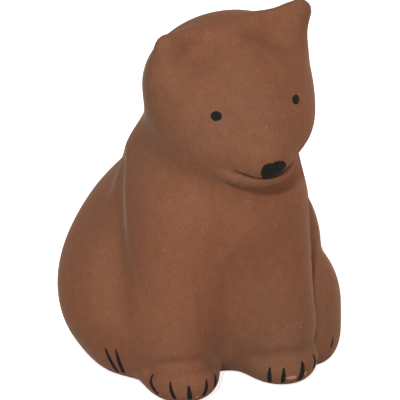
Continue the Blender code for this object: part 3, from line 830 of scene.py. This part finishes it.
# %% The eyes
# Direction from the head's centre, half sizes, seed of the wobble, and where a bite is missing.
EYES = {"right": ((-10.0, -13.9, 3.95), (1.46, 1.28), 3.1, 300),
        "left": ((9.7, -14.6, 3.65), (1.50, 1.19), 7.7, None)}
WOBBLE = 0.05
BITE_DEPTH, BITE_WIDTH = 0.16, 0.16


def wobbled(half, seed, notch, count=40):
    """Oval drawn by hand: its radius wanders, and one small bite may be missing."""
    outline = []
    for i in range(count):
        angle = math.tau * i / count
        drift = noise.noise(Vector((2 * math.cos(angle) + seed, 2 * math.sin(angle), seed)))
        reach = 1 + WOBBLE * drift
        if notch is not None:
            turn = (angle - math.radians(notch) + math.pi) % math.tau - math.pi
            reach -= BITE_DEPTH * math.exp(-(turn / BITE_WIDTH) ** 2)
        outline.append((half[0] * reach * math.cos(angle), half[1] * reach * math.sin(angle)))
    return outline


for side, (direction, half, seed, notch) in EYES.items():
    film(f"eye_{side}_paint", on_head([direction])[0], wobbled(half, seed, notch), f"eye_{side}")


# %% [markdown]
# ## The nose
#
# The pad is about as wide as it is tall and leans to one side, with rounded lobes above and a blunt chin
# below. Two faint dimples near its top are the nostrils, and the brush left a shallow dip in the top edge
# between the lobes. It follows the form without the jaw, so that it hangs over the mouth's crease and
# isn't folded into it.

# %% The nose pad
NOSE_DIRECTION = (0.72, -24.1, -8.1)
NOSE_HALF = (3.9, 4.1)
NOSE_LEAN = 0.26
LOBES = 0.10
TOP_DIP, TOP_DIP_WIDTH = 0.045, 0.20
NOSE_WOBBLE, NOSE_SEED = 0.03, 5.0
# Place across and up, depth and spread of each nostril.
NOSTRILS = (((-1.2, 2.6), 0.09, 0.55), ((1.35, 1.9), 0.09, 0.55))


def nose_outline(half, lean, count=56):
    outline = []
    for i in range(count):
        angle = math.tau * i / count
        across = math.cos(angle)
        lift = math.sin(angle)
        reach = 1 + LOBES * abs(math.sin(2 * angle))
        if lift > 0:
            reach -= TOP_DIP * math.exp(-(across / TOP_DIP_WIDTH) ** 2)
        reach += NOSE_WOBBLE * noise.noise(Vector((3 * across, 3 * lift, NOSE_SEED)))
        up = half[1] * reach * lift
        outline.append((half[0] * reach * across - lean * up, up))
    return outline


film("nose_paint", on_head([NOSE_DIRECTION])[0], nose_outline(NOSE_HALF, NOSE_LEAN), "nose",
     NOSTRILS, above_mouth)

# %% [markdown]
# ## The claws
#
# A claw is one brush stroke: thin where the brush lands, widest below the middle, and ragged where it
# lifts. Geometry Nodes suit it, because every stroke is the same strip laid along another path: the tree
# gives the strip its width from a few stations and a little noise, lays it on the skin and gives it the
# thickness of paint. The strokes bend as they go down the paw. Only claws that the photo shows are made.

# %% Where the strokes lie
# Degrees round the paw at the top and the bottom, the two heights, and half the stroke's width.
CLAWS = {
    "front_right": ((-77, -59, 7.2, 2.3, 0.76), (-37, -29, 7.2, 1.9, 0.60), (-10, -6, 6.4, 1.7, 0.72),
                    (19, 15, 7.0, 2.0, 0.67), (41, 38, 6.9, 3.3, 0.72)),
    "front_left": ((-36, -38, 6.2, 1.2, 0.69), (-16, -17, 6.3, 1.3, 0.68), (13, 9, 7.1, 1.5, 0.93),
                   (46, 36, 6.8, 3.6, 0.72)),
    "hind_right": ((-47, -37, 10.5, 1.9, 0.70), (-33, -26, 10.9, 2.1, 0.74)),
    "hind_left": ((27, 23, 8.4, 5.4, 0.30),),
}
CLAW_BEND = 1.7
PATH_POINTS = 26


def claw_path(paw, top_angle, bottom_angle, top_z, bottom_z):
    """Points on the skin in millimetres, from the top of the claw to its bottom."""
    end, side = paw.split("_")
    (x, y, _), _ = (FRONT_PAW if end == "front" else HIND_PAW)[side]
    t = np.linspace(0, 1, PATH_POINTS)
    angle = np.radians(top_angle + (bottom_angle - top_angle) * t ** CLAW_BEND)
    starts = np.stack([np.full(PATH_POINTS, x), np.full(PATH_POINTS, y), top_z + (bottom_z - top_z) * t], 1)
    return cast(starts, np.stack([np.sin(angle), -np.cos(angle), np.zeros(PATH_POINTS)], 1))


# %% Sizes and inputs of a stroke
STROKE_WIDTHS = (0.25, 0.52, 0.74, 0.92, 1.0, 0.98, 0.90, 0.75)
STRIP_POINTS = {"Vertices X": 26, "Vertices Y": 9, "Vertices Z": 2}
STROKE_BACK = 2.6
# How much the width shakes, how often from end to end, and how unlike the two edges are.
RAGGEDNESS = 0.5
SHAKES_ALONG = 9.0
SHAKES_ACROSS = 3.0
BRUSH_INPUTS = {"Path": "Geometry", "Skin": "Object", "Half Width": "Float", "Rise": "Float",
                "Sink": "Float", "Raggedness": "Float", "Seed": "Float", "Paint": "Material"}


def set_profile(profile, widths):
    """Give a Float Curve node these widths at even steps from 0 to 1."""
    points = profile.mapping.curves[0].points
    last = len(widths) - 1
    points[0].location = (0.0, widths[0])
    points[-1].location = (1.0, widths[-1])
    for i in range(1, last):
        points.new(i / last, widths[i])
    profile.mapping.update()


# %% Node group that brushes a stroke
def brush_tree():
    """Flat strip laid along a path, pulled on to the skin and given the thickness of paint."""
    tree = bpy.data.node_groups.new("painted_stroke", "GeometryNodeTree")
    sockets = {}
    for name, kind in BRUSH_INPUTS.items():
        socket = tree.interface.new_socket(name, in_out="INPUT", socket_type=f"NodeSocket{kind}")
        sockets[name] = socket.identifier
    tree.interface.new_socket("Stroke", in_out="OUTPUT", socket_type="NodeSocketGeometry")
    given = tree.nodes.new("NodeGroupInput").outputs

    def node(kind, wanted=None, **settings):
        return added(tree, kind, wanted, **settings)

    def calc(operation, a, b=0.0):
        return maths(tree, operation, a, b)

    def vector_node(operation, a, b=(0, 0, 0)):
        return node("ShaderNodeVectorMath", {0: a, 1: b}, operation=operation).outputs[0]

    def scaled(vector, amount):
        return node("ShaderNodeVectorMath", {0: vector, "Scale": amount}, operation="SCALE").outputs[0]

    # A thin block, whose x runs along the stroke and whose y runs across it.
    strip = node("GeometryNodeMeshCube", {"Size": (1, 1, 1), **STRIP_POINTS}).outputs["Mesh"]
    place = node("ShaderNodeSeparateXYZ", {0: node("GeometryNodeInputPosition").outputs[0]}).outputs
    along = calc("ADD", place["X"], 0.5)
    across = calc("MULTIPLY", place["Y"], 2.0)
    on_top = calc("GREATER_THAN", place["Z"], 0.0)

    # Where the path is at that share of its length, and which way is out of the skin there.
    curve = node("GeometryNodeMeshToCurve", {"Mesh": given["Path"]}).outputs[0]
    outward = node("GeometryNodeInputNamedAttribute", {"Name": "outward"}, data_type="FLOAT_VECTOR")
    sample = node("GeometryNodeSampleCurve", {"Curves": curve, "Factor": along}, mode="FACTOR",
                  data_type="FLOAT_VECTOR", use_all_curves=True)
    for socket in sample.inputs:
        if socket.name == "Value" and socket.type == "VECTOR" and socket.enabled:
            tree.links.new(outward.outputs[0], socket)
    sampled = {socket.name: socket for socket in sample.outputs if socket.enabled}
    up = vector_node("NORMALIZE", sampled["Value"])
    side = vector_node("NORMALIZE", vector_node("CROSS_PRODUCT", up, sampled["Tangent"]))

    # The half width there, shaken a little, and the point on the skin.
    profile = node("ShaderNodeFloatCurve", {"Value": along})
    set_profile(profile, STROKE_WIDTHS)
    hand = node("ShaderNodeCombineXYZ", {0: given["Seed"], 1: calc("MULTIPLY", along, SHAKES_ALONG),
                                         2: calc("MULTIPLY", calc("SIGN", across), SHAKES_ACROSS)}).outputs[0]
    shake = node("ShaderNodeTexNoise", {"Vector": hand, "Scale": 1.0, "Detail": 2.0}).outputs[0]
    shake = calc("MULTIPLY", calc("SUBTRACT", shake, 0.5), given["Raggedness"])
    reach = calc("MULTIPLY", profile.outputs[0], given["Half Width"])
    reach = calc("MULTIPLY", reach, calc("ADD", shake, 1.0))
    flat = vector_node("ADD", sampled["Position"], scaled(side, calc("MULTIPLY", across, reach)))
    skin_faces = node("GeometryNodeObjectInfo", {"Object": given["Skin"]}).outputs["Geometry"]
    nearest = node("GeometryNodeProximity", {0: skin_faces, "Sample Position": flat}, target_element="FACES")

    # The top stands proud and turns down at the edge; the back lies deeper.
    from_middle = calc("ABSOLUTE", calc("SUBTRACT", calc("MULTIPLY", along, 2.0), 1.0))
    edge = calc("POWER", calc("MAXIMUM", from_middle, calc("ABSOLUTE", across)), FILM_EDGE)
    top = calc("SUBTRACT", given["Rise"], calc("MULTIPLY", calc("ADD", given["Rise"], given["Sink"]), edge))
    back = calc("MULTIPLY", given["Sink"], -STROKE_BACK)
    height = calc("ADD", calc("MULTIPLY", top, on_top), calc("MULTIPLY", back, calc("SUBTRACT", 1.0, on_top)))
    placed = vector_node("ADD", nearest.outputs["Position"], scaled(up, height))
    shaped = node("GeometryNodeSetPosition", {"Geometry": strip, "Position": placed}).outputs[0]
    smooth = node("GeometryNodeSetShadeSmooth", {"Geometry": shaped, "Shade Smooth": True}).outputs[0]
    whole = node("GeometryNodeRealizeInstances", {"Geometry": smooth}).outputs[0]
    painted = node("GeometryNodeSetMaterial", {"Geometry": whole, "Material": given["Paint"]}).outputs[0]
    node("NodeGroupOutput", {"Stroke": painted})
    return tree, sockets


stroke_tree, stroke_inputs = brush_tree()
print("tree", stroke_tree.name, "with", len(stroke_tree.nodes), "nodes")


# %% Brush each stroke and make it a plain mesh
def stroke(name, path, half_width, seed, node):
    mesh = bpy.data.meshes.new(name + "_path")
    mesh.from_pydata([Vector(p) for p in to_frame(path)], [(i, i + 1) for i in range(len(path) - 1)], [])
    outward = mesh.attributes.new("outward", "FLOAT_VECTOR", "POINT")
    outward.data.foreach_set("vector", slope(skin, path).ravel())
    obj = linked(name, mesh)
    brush = obj.modifiers.new("brush", "NODES")
    brush.node_group = stroke_tree
    values = {"Skin": skin_obj, "Half Width": half_width * MM, "Rise": FILM_RISE * MM,
              "Sink": FILM_SINK * MM, "Raggedness": RAGGEDNESS, "Seed": seed, "Paint": paint}
    for key, value in values.items():
        brush[stroke_inputs[key]] = value
    made_plain(obj, brush)
    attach(obj, "body")
    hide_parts(node)
    return obj


SEED_STEP = 10.0
strokes = []
for paw, claws in CLAWS.items():
    for number, (*run, half_width) in enumerate(claws, 1):
        node_name = f"claw_{paw}_{number}"
        strokes.append(stroke(node_name + "_paint", claw_path(paw, *run), half_width,
                              SEED_STEP * len(strokes), node_name))
print("strokes", len(strokes), "faces in each", sorted({len(obj.data.polygons) for obj in strokes}))


# %% [markdown]
# ## The squeaker
#
# The photograph shows no squeaker: it is a guess, because such toys often have one in the base. Its
# plastic is made cream and satin, and its reed thin rolled brass. Only the barrel's flange shows, on the
# underside. The solid model's shapes serve as they are, so only their materials change.

# %% Squeaker materials
CREAM_DARK, CREAM_LIGHT, CREAM_SCALE = (0.66, 0.61, 0.50), (0.72, 0.68, 0.58), 160.0
CREAM_GRAIN_SCALE = 1800.0
BRASS_DARK, BRASS_LIGHT, BRASS_SCALE = (0.62, 0.44, 0.17), (0.74, 0.56, 0.25), 120.0
ROLLED = (1.0, 30.0, 30.0)


def squeaker_plastic():
    plastic, tree, shader = new_material("squeaker_cream_plastic", roughness=0.45)
    at = object_place(tree)
    tone = noise_of(tree, at, CREAM_SCALE, detail=3.0)
    feed(tree, shader.inputs["Base Color"], ramp(tree, tone, ((0.35, CREAM_DARK), (0.65, CREAM_LIGHT))))
    bumped(tree, shader, noise_of(tree, at, CREAM_GRAIN_SCALE), strength=0.15, depth=0.04)
    return plastic


def reed_brass():
    """Brass with fine lines along the strip, as rolling leaves."""
    brass, tree, shader = new_material("rolled_reed_brass", metallic=1.0, roughness=0.32)
    stretched = added(tree, "ShaderNodeMapping", {"Vector": object_place(tree), "Scale": ROLLED})
    lines = noise_of(tree, stretched.outputs["Vector"], BRASS_SCALE, detail=3.0)
    feed(tree, shader.inputs["Base Color"], ramp(tree, lines, ((0.3, BRASS_DARK), (0.7, BRASS_LIGHT))))
    return brass


cream, brass = squeaker_plastic(), reed_brass()
squeaker = {"squeaker_barrel": cream, "reed_plate": cream, "reed_clamp": cream, "reed_tongue": brass}
for name, material in squeaker.items():
    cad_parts[name].data.materials.clear()
    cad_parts[name].data.materials.append(material)
print("squeaker", {name: material.name for name, material in squeaker.items()})

# %% [markdown]
# ## Floor, light and camera
#
# The photograph is a cut-out on pure white, lit so softly that hardly anything but the chin throws a
# shadow. The world gives an even, warm light. A small lamp a little to the left of the camera and above
# it makes the chin's crescent of shadow, and a wide, weak one low in front fills it. Three more, behind
# at the right, behind above, and at the left, graze the edges, where the coat's sheen catches them. The
# floor and world look white to the camera, while their light on the bear stays gentle.

# %% Floor
FLOOR_HALF = 3.0
FLOOR_DROP = 0.0002
corners = [(x * FLOOR_HALF, y * FLOOR_HALF, -FLOOR_DROP) for x, y in ((-1, -1), (1, -1), (1, 1), (-1, 1))]
floor_mesh = bpy.data.meshes.new("studio_floor")
floor_mesh.from_pydata(corners, [], [(0, 1, 2, 3)])
floor = linked("studio_floor", floor_mesh)
floor_material, floor_tree, floor_shader = new_material("pale_floor", roughness=0.9)
floor_mesh.materials.append(floor_material)

# %% White to the camera, gentle to the bear
WHITE = (1.0, 1.0, 1.0)
FLOOR_SEEN, FLOOR_TO_BEAR = (0.9, 0.9, 0.9), (0.50, 0.43, 0.37)
FLOOR_GLOW = 0.8
SKY_TO_BEAR = (0.140, 0.110, 0.075)


def seen_directly(tree):
    """1 on rays from the camera, and on glossy and transmitted ones."""
    path = tree.nodes.new("ShaderNodeLightPath")
    either = maths(tree, "MAXIMUM", path.outputs["Is Camera Ray"], path.outputs["Is Glossy Ray"])
    return maths(tree, "MAXIMUM", either, path.outputs["Is Transmission Ray"])


seen = seen_directly(floor_tree)
feed(floor_tree, floor_shader.inputs["Base Color"], mixed(floor_tree, seen, FLOOR_TO_BEAR, FLOOR_SEEN))
plain = floor_shader.outputs["BSDF"]
glow = added(floor_tree, "ShaderNodeEmission", {"Color": WHITE, "Strength": FLOOR_GLOW}).outputs[0]
glowing = added(floor_tree, "ShaderNodeAddShader", {0: plain, 1: glow}).outputs[0]
shown = added(floor_tree, "ShaderNodeMixShader", {0: seen, 1: plain, 2: glowing}).outputs[0]
feed(floor_tree, floor_tree.nodes["Material Output"].inputs["Surface"], shown)

world = bpy.data.worlds.new("studio")
bpy.context.scene.world = world
world.use_nodes = True
world_tree = world.node_tree
sky = world_tree.nodes["Background"].inputs
feed(world_tree, sky["Color"], mixed(world_tree, seen_directly(world_tree), SKY_TO_BEAR, WHITE))
feed(world_tree, sky["Strength"], 1.0)

# %% Lamps
# Name, place in metres, side of the square in metres, watts, and colour.
MIDDLE = Vector((0.0, 0.0, 0.045))
LAMPS = (("key_front", (-0.415, -0.781, 0.664), 0.08, 7.9, WHITE),
         ("low_front", (-0.16, -1.06, 0.17), 0.40, 2.1, (0.95, 0.96, 1.0)),
         ("behind_right", (0.99, 0.36, 0.27), 0.40, 5.2, (1.0, 0.72, 0.55)),
         ("behind_above", (0.05, 0.80, 0.90), 0.60, 3.0, (1.0, 0.93, 0.86)),
         ("side_left", (-1.06, -0.04, 0.27), 0.35, 0.5, (0.65, 0.9, 1.0)))


def lamp(name, place, size, power, colour):
    """Square lamp that looks at the bear's middle."""
    data = bpy.data.lights.new(name, "AREA")
    data.shape = "SQUARE"
    data.size = size
    data.energy = power
    data.color = colour
    obj = linked(name, data)
    obj.location = place
    obj.rotation_euler = (MIDDLE - Vector(place)).to_track_quat("-Z", "Y").to_euler()


for settings in LAMPS:
    lamp(*settings)
print("lamps", len(LAMPS))

# %% Camera at the photograph's angle
CAMERA_AZIMUTH = math.radians(-20.89)
CAMERA_ELEVATION = math.radians(19.71)
CAMERA_DISTANCE = 550.0
PIXELS_PER_MM = 4.1
IMAGE = 400
AXIS_PIXEL = (210.35, 175.2)
AIM_HEIGHT = 50.0
SENSOR = 36.0
target = np.array((0.0, 0.0, AIM_HEIGHT)) + FORM_STEP
offset = CAMERA_DISTANCE * np.array((math.sin(CAMERA_AZIMUTH) * math.cos(CAMERA_ELEVATION),
                                     -math.cos(CAMERA_AZIMUTH) * math.cos(CAMERA_ELEVATION),
                                     math.sin(CAMERA_ELEVATION)))
camera_data = bpy.data.cameras.new("camera")
camera_data.sensor_width = SENSOR
camera_data.lens = PIXELS_PER_MM * CAMERA_DISTANCE * SENSOR / IMAGE
camera_data.shift_x = (IMAGE / 2 - AXIS_PIXEL[0]) / IMAGE
camera_data.shift_y = (AXIS_PIXEL[1] - IMAGE / 2) / IMAGE
camera = linked("camera", camera_data)
camera.location = Vector((target + offset) * MM)
camera.rotation_euler = Vector(-offset).to_track_quat("-Z", "Y").to_euler()
bpy.context.scene.camera = camera
bpy.context.scene.view_settings.view_transform = "Standard"
print("lens", round(camera_data.lens, 1), "mm")
